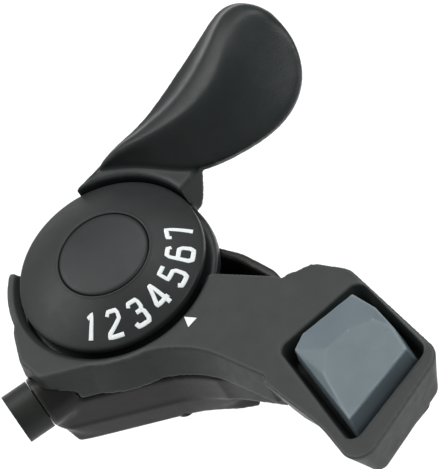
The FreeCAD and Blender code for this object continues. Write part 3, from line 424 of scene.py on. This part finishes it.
dial_outline = [(DIAL_EDGE - 0.35, -1.6), (DIAL_EDGE, -1.3), (DIAL_EDGE, -0.25), (17.9, 0.0), (17.65, 0.16)]
dial_outline += [(radius / 4, cone_height(radius / 4)) for radius in range(69, 36, -2)]
dial_outline += [(9.15, 3.86), (DIAL_SEAM, 3.78), (8.86, 3.6), (8.86, 2.7), (6.4, 2.7), (6.4, -1.6)]
dial = turned(dial_outline, "dial_face")
DIAL_DARK = (0.018, 0.020, 0.020)
DIAL_LIGHT = (0.023, 0.026, 0.026)
dial_paint = moulded("dial_nylon", DIAL_DARK, DIAL_LIGHT, 0.42, grain=3200.0, depth=0.000014)
dial.data.materials.append(dial_paint)
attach(dial, "lever")
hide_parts("number_dial")

# Each figure is one line of even width with squared turns, drawn in a box 0 to 1 wide and
# 0 to 1 high. Its top points to the dial's centre.
FIGURES = {
    "1": [[(0.25, 0.82), (0.62, 1.0), (0.62, 0.0)]],
    "2": [[
        (0.0, 0.82), (0.14, 1.0), (0.86, 1.0), (1.0, 0.88), (1.0, 0.66), (0.06, 0.16), (0.0, 0.0), (1.0, 0.0),
    ]],
    "3": [
        [(0.0, 0.84), (0.12, 1.0), (0.88, 1.0), (1.0, 0.88), (1.0, 0.66), (0.86, 0.53), (0.4, 0.53)],
        [(0.86, 0.53), (1.0, 0.42), (1.0, 0.12), (0.88, 0.0), (0.12, 0.0), (0.0, 0.16)],
    ],
    "4": [[(0.78, 0.0), (0.78, 1.0), (0.6, 1.0), (0.0, 0.34), (0.0, 0.24), (1.05, 0.24)]],
    "5": [[
        (0.96, 1.0), (0.08, 1.0), (0.04, 0.58), (0.84, 0.58), (1.0, 0.46), (1.0, 0.14), (0.86, 0.0),
        (0.14, 0.0), (0.0, 0.14),
    ]],
    "6": [[
        (0.98, 0.86), (0.86, 1.0), (0.16, 1.0), (0.0, 0.86), (0.0, 0.14), (0.14, 0.0), (0.86, 0.0),
        (1.0, 0.14), (1.0, 0.42), (0.86, 0.56), (0.04, 0.56),
    ]],
    "7": [[(0.0, 0.84), (0.0, 1.0), (1.0, 1.0), (0.42, 0.0)]],
}
FIGURE_WIDTH = 2.35
FIGURE_HEIGHT = 4.35
FIGURE_RADIUS = 14.35
FIGURE_STROKE = 0.4
FIRST_FIGURE = -105.5
FIGURE_STEP = 19.05
INK_THICKNESS = 0.06


def inked(strokes, half_width, radius, turn_angle):
    """Lay strokes on the dial's cone as raised ink; they are in millimetres about a centre."""
    curve = bpy.data.curves.new("ink_line", "CURVE")
    curve.dimensions = "3D"
    curve.bevel_depth = half_width
    curve.bevel_resolution = 3
    curve.use_fill_caps = True
    for stroke in strokes:
        path = []
        for start, end in zip(stroke, stroke[1:]):
            path += [(Vector(start)).lerp(Vector(end), step / 6) for step in range(6)]
        path.append(Vector(stroke[-1]))
        line = curve.splines.new("POLY")
        line.points.add(len(path) - 1)
        for point, place in zip(line.points, path):
            point.co = (place.x, place.y, 0.0, 1.0)
    drawn = bpy.data.objects.new("ink_line", curve)
    bpy.context.scene.collection.objects.link(drawn)
    bpy.context.view_layer.update()
    data = bpy.data.meshes.new_from_object(drawn.evaluated_get(bpy.context.evaluated_depsgraph_get()))
    bpy.data.objects.remove(drawn)
    bpy.data.curves.remove(curve)
    mesh = bmesh.new()
    mesh.from_mesh(data)
    bpy.data.meshes.remove(data)
    for vertex in mesh.verts:
        out = radius - vertex.co.y
        heading = turn_angle + vertex.co.x / radius
        height = cone_height(out) + INK_THICKNESS * vertex.co.z / half_width
        vertex.co = spot(out * math.cos(heading), out * math.sin(heading), height)
    return mesh


figures = bmesh.new()
for number, strokes in FIGURES.items():
    turn_angle = math.radians(FIRST_FIGURE + FIGURE_STEP * (int(number) - 1))
    placed_strokes = [
        [((x - 0.5) * FIGURE_WIDTH, (y - 0.5) * FIGURE_HEIGHT) for x, y in stroke] for stroke in strokes
    ]
    figure = inked(placed_strokes, FIGURE_STROKE, FIGURE_RADIUS, turn_angle)
    figure_data = bpy.data.meshes.new("figure")
    figure.to_mesh(figure_data)
    figure.free()
    figures.from_mesh(figure_data)
    bpy.data.meshes.remove(figure_data)
dial_figures = placed(figures, "dial_figures")
ink = Paint("white_ink")
ink_mottle = ink.noise(1500.0, 3.0, 0.6)
dial_figures.data.materials.append(ink.coat(
    Base_Color=ink.mix(ink_mottle, (0.62, 0.66, 0.66), (0.86, 0.89, 0.89)),
    Roughness=ink.spread(ink_mottle, 0.3, 0.7, 0.45, 0.6),
    Normal=ink.bump(ink_mottle, 0.00001),
))
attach(dial_figures, "lever")

# ---- Dial cap --------------------------------------------------------------------------
# A round press-in cap of the same plastic closes the middle of the dial over the shaft
# screw. Its crown is very low and its rim is rounded, so a fine dark seam shows round it.

cap_outline = [(0.0, 2.72), (8.3, 2.72), (8.72, 2.8), (8.74, 3.5), (8.68, 3.72), (8.5, 3.88)]
cap_outline += [(radius / 2, 4.42 - 0.49 * (radius / 2 / 8.5) ** 2) for radius in range(16, 1, -1)]
cap_outline += [(0.0, 4.42)]
cap = turned(cap_outline, "dial_cover_cap")
CAP_DARK = (0.016, 0.017, 0.018)
CAP_LIGHT = (0.021, 0.022, 0.023)
cap.data.materials.append(moulded("cap_nylon", CAP_DARK, CAP_LIGHT, 0.4, depth=0.000012))
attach(cap, "lever")
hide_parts("dial_cap")

# ---- Pointer ---------------------------------------------------------------------------
# A small white triangle is printed on the cover beside the dial and shows which figure is
# in use.

POINTER_ANGLE = math.radians(-47.5)
POINTER_TIP = 19.9
POINTER_LENGTH = 2.3
POINTER_HALF = 1.15
POINTER_HEIGHT = -0.98
POINTER_THICKNESS = 0.08
pointer_mesh = bmesh.new()
corners = []
for out, side in ((POINTER_TIP, 0.0), (POINTER_TIP + POINTER_LENGTH, POINTER_HALF),
                  (POINTER_TIP + POINTER_LENGTH, -POINTER_HALF)):
    across = out * math.cos(POINTER_ANGLE) - side * math.sin(POINTER_ANGLE)
    along = out * math.sin(POINTER_ANGLE) + side * math.cos(POINTER_ANGLE)
    corners.append(pointer_mesh.verts.new(spot(across, along, POINTER_HEIGHT - POINTER_THICKNESS)))
triangle = pointer_mesh.faces.new(corners)
raised = bmesh.ops.extrude_face_region(pointer_mesh, geom=[triangle])
bmesh.ops.translate(
    pointer_mesh, vec=(0, 0, POINTER_THICKNESS * 2 * MM),
    verts=[item for item in raised["geom"] if isinstance(item, bmesh.types.BMVert)],
)
pointer = placed(pointer_mesh, "pointer_mark", smooth=False)
pointer.data.materials.append(ink.material)
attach(pointer, "bracket")

# ---- Thumb lever -----------------------------------------------------------------------
# The lever is one moulding in black nylon: a hub plate under the dial, a flange that hugs
# the dial's far edge, and a paddle that rises and widens to a rounded tip for the thumb.

LEVER_HEADING = math.radians(40.0)
paddle_along = Vector((math.cos(LEVER_HEADING), math.sin(LEVER_HEADING), 0))
paddle_side = Vector((-math.sin(LEVER_HEADING), math.cos(LEVER_HEADING), 0))

# How far out along the lever, then across and up for the far edge, the groove line, the
# ridge, the near edge and the underside, in millimetres.
PADDLE = [
    (12.6, (17.0, 2.0), (16.8, 2.4), (16.4, 2.3), (16.2, 1.4), (16.4, -3.5)),
    (15.4, (16.6, 3.2), (15.6, 3.9), (14.6, 4.0), (13.2, 1.8), (14.4, -4.4)),
    (18.0, (15.9, 4.2), (14.2, 5.4), (12.2, 5.8), (9.4, 1.9), (12.0, -4.6)),
    (21.0, (14.9, 5.0), (12.2, 6.6), (9.4, 7.3), (3.2, 1.9), (8.6, -3.4)),
    (24.5, (14.3, 5.9), (10.8, 7.9), (6.4, 8.9), (-1.6, 2.2), (6.0, -1.2)),
    (29.0, (14.3, 7.0), (8.8, 9.7), (3.6, 10.6), (-5.0, 3.3), (4.2, 0.8)),
    (33.5, (14.5, 8.2), (8.2, 11.5), (2.3, 12.2), (-8.2, 4.9), (3.0, 2.6)),
    (37.5, (14.6, 9.2), (8.6, 12.7), (2.5, 13.4), (-10.4, 6.5), (2.2, 4.2)),
    (41.5, (14.9, 10.2), (9.5, 13.9), (4.2, 14.6), (-11.4, 8.1), (1.8, 5.8)),
    (45.4, (15.2, 11.2), (11.0, 14.5), (6.2, 15.2), (-10.8, 9.7), (2.0, 7.4)),
    (48.8, (14.6, 12.2), (11.0, 14.7), (6.4, 15.3), (-8.4, 11.1), (2.4, 9.0)),
    (51.6, (11.2, 12.8), (8.6, 14.5), (4.4, 14.9), (-3.6, 12.3), (3.2, 10.6)),
]
EDGE_SWEEP = 0.9
EDGE_DEPTH = 2.3
TIP_HEART = (53.0, 4.0, 12.9)
ROOT_HEART = (11.6, 16.8, -0.4)


def paddle_point(out, side, up):
    place = paddle_along * out + paddle_side * side
    return spot(place.x, place.y, up)


paddle_mesh = bmesh.new()
rings = []
for out, far, groove, ridge, near, belly in PADDLE:
    outline = []
    under_near = (near[0] + EDGE_SWEEP, near[1] - EDGE_DEPTH)
    under_far = (far[0] - EDGE_SWEEP, far[1] - EDGE_DEPTH)
    sides = (
        (far, groove, 0.2), (groove, ridge, -0.1), (ridge, near, 0.1), (near, under_near, 0.3),
        (under_near, belly, 0.1), (belly, under_far, 0.1), (under_far, far, 0.3),
    )
    for start, end, bulge in sides:
        start, end = Vector(start), Vector(end)
        away = Vector((start.y - end.y, end.x - start.x)).normalized()
        for part in (0.0, 0.33, 0.67):
            push = away * bulge * 2 * part * (1 - part) * (end - start).length
            outline.append(start.lerp(end, part) + push)
    rings.append([paddle_mesh.verts.new(paddle_point(out, point.x, point.y)) for point in outline])
for near_ring, far_ring in zip(rings, rings[1:]):
    for index in range(len(near_ring)):
        follow = (index + 1) % len(near_ring)
        paddle_mesh.faces.new((near_ring[index], near_ring[follow], far_ring[follow], far_ring[index]))
tip_heart = paddle_mesh.verts.new(paddle_point(*TIP_HEART))
root_heart = paddle_mesh.verts.new(paddle_point(*ROOT_HEART))
for index in range(len(rings[0])):
    follow = (index + 1) % len(rings[0])
    paddle_mesh.faces.new((rings[-1][index], rings[-1][follow], tip_heart))
    paddle_mesh.faces.new((rings[0][follow], rings[0][index], root_heart))
paddle = placed(paddle_mesh, "paddle_core")
rounder = paddle.modifiers.new("rounder", "SUBSURF")
rounder.levels = 3
rounder.render_levels = 3
settled(paddle)

FLANGE_START = math.radians(40.0)
FLANGE_SPAN = math.radians(72.0)
FLANGE_STEPS = 24
FLANGE_FAR_EDGE = 17.4
FLANGE_LEAST_REACH = 18.0
FLANGE_LEAST_SINE = 0.1
FLANGE_SECTION = [
    (18.5, -7.0), (20.6, -7.0), (21.9, -5.0), (23.0, -3.0), (24.4, 0.2), (23.8, 1.5), (19.0, 1.5),
    (18.5, 1.0),
]
flange_mesh = bmesh.new()
sections = []
for step in range(FLANGE_STEPS + 1):
    heading = FLANGE_START + FLANGE_SPAN * step / FLANGE_STEPS
    room = FLANGE_FAR_EDGE / max(math.sin(heading - LEVER_HEADING), FLANGE_LEAST_SINE)
    section = []
    for radius, height in FLANGE_SECTION:
        reach = min(radius, max(room, FLANGE_LEAST_REACH))
        corner = spot(reach * math.cos(heading), reach * math.sin(heading), height)
        section.append(flange_mesh.verts.new(corner))
    sections.append(section)
for near_ring, far_ring in zip(sections, sections[1:]):
    for index in range(len(near_ring)):
        follow = (index + 1) % len(near_ring)
        flange_mesh.faces.new((near_ring[index], near_ring[follow], far_ring[follow], far_ring[index]))
flange_mesh.faces.new(sections[0])
flange_mesh.faces.new(sections[-1])
flange = placed(flange_mesh, "flange_core")
HUB_OUTLINE = [(3.6, -7.0), (17.8, -7.0), (18.9, -6.9), (18.9, -4.5), (17.8, -4.4), (3.6, -4.4)]
HUB_SEGMENTS = 96
hub = turned(HUB_OUTLINE, "hub_core", HUB_SEGMENTS)
lever_mesh = bmesh.new()
for core in (paddle, flange, hub):
    lever_mesh.from_mesh(core.data)
    core_data = core.data
    bpy.data.objects.remove(core)
    bpy.data.meshes.remove(core_data)
lever = placed(lever_mesh, "thumb_paddle")
LEVER_VOXEL = 0.3 * MM
LEVER_PASSES = 12
skin = lever.modifiers.new("even_skin", "REMESH")
skin.mode = "VOXEL"
skin.voxel_size = LEVER_VOXEL
relax = lever.modifiers.new("rounding", "SMOOTH")
relax.factor = 0.5
relax.iterations = LEVER_PASSES
mark_edges(settled(lever), FULL_WEAR_AND_HIGHLIGHT)
LEVER_DARK = (0.013, 0.016, 0.016)
LEVER_LIGHT = (0.018, 0.021, 0.021)
# Paler colour for the lever's sharp edges: partly wear, partly a painted edge highlight.
LEVER_WORN_AND_LIT = (0.11, 0.12, 0.12)
lever.data.materials.clear()
lever.data.materials.append(moulded("lever_nylon", LEVER_DARK, LEVER_LIGHT, 0.36, wear_and_highlight=0.3, worn_and_lit=LEVER_WORN_AND_LIT))
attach(lever, "lever")
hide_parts("thumb_lever")

# ---- Release button --------------------------------------------------------------------
# The release button is moulded in grey-blue plastic. Its top has a raised ridge with a
# sloping facet behind it and a shallow dished face in front for the thumb.

BUTTON_FOOT = [
    (33.8, -28.0), (35.6, -25.0), (46.4, -18.9), (51.0, -23.8), (54.6, -29.8), (57.0, -35.0), (44.6, -48.2),
]
BUTTON_CROWN = [
    ((34.5, -28.2), -0.5), ((36.2, -25.3), -0.3), ((46.3, -19.7), 0.3), ((50.8, -24.4), 0.9),
    ((54.3, -30.1), 1.3), ((56.6, -35.2), 1.2), ((44.8, -47.2), 0.7),
]
RIDGE = (((41.4, -31.2), 1.6), ((45.8, -28.8), 2.1), ((50.6, -27.6), 1.9))
BUTTON_FOOT_HEIGHT = -4.55
SHOULDER = (40.6, -36.6, 1.1)
DISH = (47.6, -36.4, 1.25)
button_mesh = bmesh.new()
foot = [button_mesh.verts.new(spot(across, along, BUTTON_FOOT_HEIGHT)) for across, along in BUTTON_FOOT]
crown = [button_mesh.verts.new(spot(across, along, up)) for (across, along), up in BUTTON_CROWN]
ridge_near, ridge_middle, ridge_far = [
    button_mesh.verts.new(spot(across, along, up)) for (across, along), up in RIDGE
]
shoulder = button_mesh.verts.new(spot(*SHOULDER))
dish = button_mesh.verts.new(spot(*DISH))
for index in range(len(foot)):
    follow = (index + 1) % len(foot)
    button_mesh.faces.new((foot[index], foot[follow], crown[follow], crown[index]))
button_mesh.faces.new(list(reversed(foot)))
facets = (
    (crown[0], crown[1], ridge_near), (crown[1], crown[2], ridge_middle, ridge_near),
    (crown[2], crown[3], ridge_far, ridge_middle), (crown[3], crown[4], ridge_far),
    (ridge_near, ridge_middle, dish), (ridge_middle, ridge_far, dish), (ridge_far, crown[4], dish),
    (crown[4], crown[5], dish), (crown[5], crown[6], dish), (crown[6], shoulder, dish),
    (shoulder, ridge_near, dish), (crown[6], crown[0], shoulder), (crown[0], ridge_near, shoulder),
)
for facet in facets:
    button_mesh.faces.new(facet)
button = placed(button_mesh, "thumb_button")
BUTTON_VOXEL = 0.2 * MM
BUTTON_PASSES = 14
# How sharp a button edge must be to take the full paler colour, which is wear plus a painted highlight.
BUTTON_FULL_WEAR_AND_HIGHLIGHT = 700.0
skin = button.modifiers.new("even_skin", "REMESH")
skin.mode = "VOXEL"
skin.voxel_size = BUTTON_VOXEL
relax = button.modifiers.new("rounding", "SMOOTH")
relax.factor = 0.5
relax.iterations = BUTTON_PASSES
mark_edges(settled(button), BUTTON_FULL_WEAR_AND_HIGHLIGHT)
BUTTON_DARK = (0.105, 0.135, 0.150)
BUTTON_LIGHT = (0.120, 0.152, 0.168)
# Paler colour for the button's sharp edges: partly wear, partly a painted edge highlight.
BUTTON_WORN_AND_LIT = (0.28, 0.33, 0.36)
button.data.materials.clear()
button.data.materials.append(
    moulded("button_plastic", BUTTON_DARK, BUTTON_LIGHT, 0.36, wear_and_highlight=0.3, worn_and_lit=BUTTON_WORN_AND_LIT))
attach(button, "button")
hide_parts("release_button")

# ---- Lower shell -----------------------------------------------------------------------
# The lower shell is moulded in black nylon with the cable outlet's boss at its left end.
# It closes the mechanism from below and is screwed to the top cover.

WAIST = (16.0, -23.6)
CORNER_SLOPE = 0.797
TUCKED_SLOPE = 0.437
TUCK_FROM = -20.0
BELLY_TOP = -16.4
BELLY_BACK = -12.6
BELLY_BLEND = 4.0
BELLY_STRETCH = 1.26
BELLY_FLARE = 0.223


def shell_shape(across, along, up):
    """Tuck the front corner in under the arm, and make the belly fuller and deeper."""
    if across > WAIST[0] and along < TUCK_FROM:
        past = across - WAIST[0]
        room = TUCK_FROM - WAIST[1]
        tuck = (room + TUCKED_SLOPE * past) / (room + CORNER_SLOPE * past)
        along = TUCK_FROM + (along - TUCK_FROM) * tuck
    if up < BELLY_TOP and along < BELLY_BACK:
        depth = BELLY_TOP - up
        front = min((BELLY_BACK - along) / BELLY_BLEND, 1.0)
        along -= BELLY_FLARE * depth * front
        up = BELLY_TOP - depth * (1.0 + (BELLY_STRETCH - 1.0) * front)
    return across, along, up


SHELL_VOXEL = 0.35 * MM
SHELL_PASSES = 10
shell = softened("lower_housing", "lower_shell", SHELL_VOXEL, SHELL_PASSES, shell_shape)
mark_edges(shell, FULL_WEAR_AND_HIGHLIGHT)
SHELL_DARK = (0.007, 0.008, 0.007)
SHELL_LIGHT = (0.010, 0.011, 0.009)
# Paler colour for the shell's sharp edges: partly wear, partly a painted edge highlight.
SHELL_WORN_AND_LIT = (0.08, 0.08, 0.075)
shell.data.materials.clear()
shell.data.materials.append(moulded("shell_nylon", SHELL_DARK, SHELL_LIGHT, 0.36, wear_and_highlight=0.3, worn_and_lit=SHELL_WORN_AND_LIT))
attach(shell, "bracket")
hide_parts("lower_housing")

# ---- Parts kept as drawn ---------------------------------------------------------------
# The castings, turned parts, springs and small mouldings keep their shapes. Each gets the
# surface that its metal or plastic has.


def metal(name, dark, light, rough, grain, depth, stretch=(1.0, 1.0, 1.0)):
    """Bare or plated metal: uneven tone, machining or casting texture, faint tarnish."""
    paint = Paint(name)
    where = paint.add("ShaderNodeVectorMath", {"operation": "MULTIPLY"}, {0: paint.place(), 1: stretch})
    texture = paint.noise(grain, 4.0, 0.6, where)
    tarnish = paint.noise(150.0, 5.0, 0.65)
    return paint.coat(
        Base_Color=paint.mix(paint.spread(tarnish, 0.35, 0.7), dark, light),
        Metallic=1.0,
        Roughness=paint.spread(texture + tarnish * 0.5, 0.5, 1.0, rough - 0.07, rough + 0.1),
        Normal=paint.bump(texture, depth),
    )


cast_alloy = metal("cast_alloy_finish", (0.17, 0.175, 0.18), (0.24, 0.245, 0.25), 0.5, 1400.0, 0.00004)
bolt_steel = metal(
    "bolt_finish", (0.40, 0.40, 0.41), (0.56, 0.56, 0.57), 0.3, 1200.0, 0.00001, stretch=(1.0, 1.0, 8.0),
)
plate_steel = metal(
    "plate_finish", (0.42, 0.42, 0.41), (0.55, 0.55, 0.54), 0.34, 900.0, 0.00001, stretch=(8.0, 1.0, 1.0),
)
black_screw = metal(
    "blackened_finish", (0.012, 0.012, 0.013), (0.022, 0.022, 0.023), 0.45, 1200.0, 0.00001,
)
spring_wire = metal("wire_finish", (0.35, 0.35, 0.36), (0.55, 0.55, 0.56), 0.26, 2000.0, 0.000008)
bronze = metal("bronze_finish", (0.36, 0.22, 0.10), (0.52, 0.34, 0.16), 0.38, 1300.0, 0.00001)
pulley_plastic = moulded("pulley_acetal", (0.55, 0.55, 0.52), (0.63, 0.63, 0.60), 0.4)
barrel_plastic = moulded("barrel_nylon", (0.012, 0.014, 0.013), (0.018, 0.020, 0.018), 0.42)
base_plastic = moulded("base_nylon", (0.012, 0.013, 0.012), (0.017, 0.018, 0.017), 0.45)
FINISHES = {
    cast_alloy: ["clamp_bracket"],
    bolt_steel: [
        "clamp_bolt", "clamp_nut", "main_shaft", "shaft_screw", "pawl_pin", "dial_washer", "drive_pins",
        "stem_clip",
    ],
    black_screw: ["case_screws"],
    plate_steel: ["index_wheel", "holding_pawl", "thrust_washer"],
    spring_wire: ["pawl_spring", "button_spring", "return_spring"],
    bronze: ["shaft_bush"],
    pulley_plastic: ["cable_pulley"],
    barrel_plastic: ["adjuster_barrel"],
    base_plastic: ["pod_base"],
}
for finish, nodes in FINISHES.items():
    for node in nodes:
        for material_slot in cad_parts[node].material_slots:
            material_slot.material = finish

# ---- Final update ----------------------------------------------------------------------
# The view layer is brought up to date once more.

bpy.context.view_layer.update()
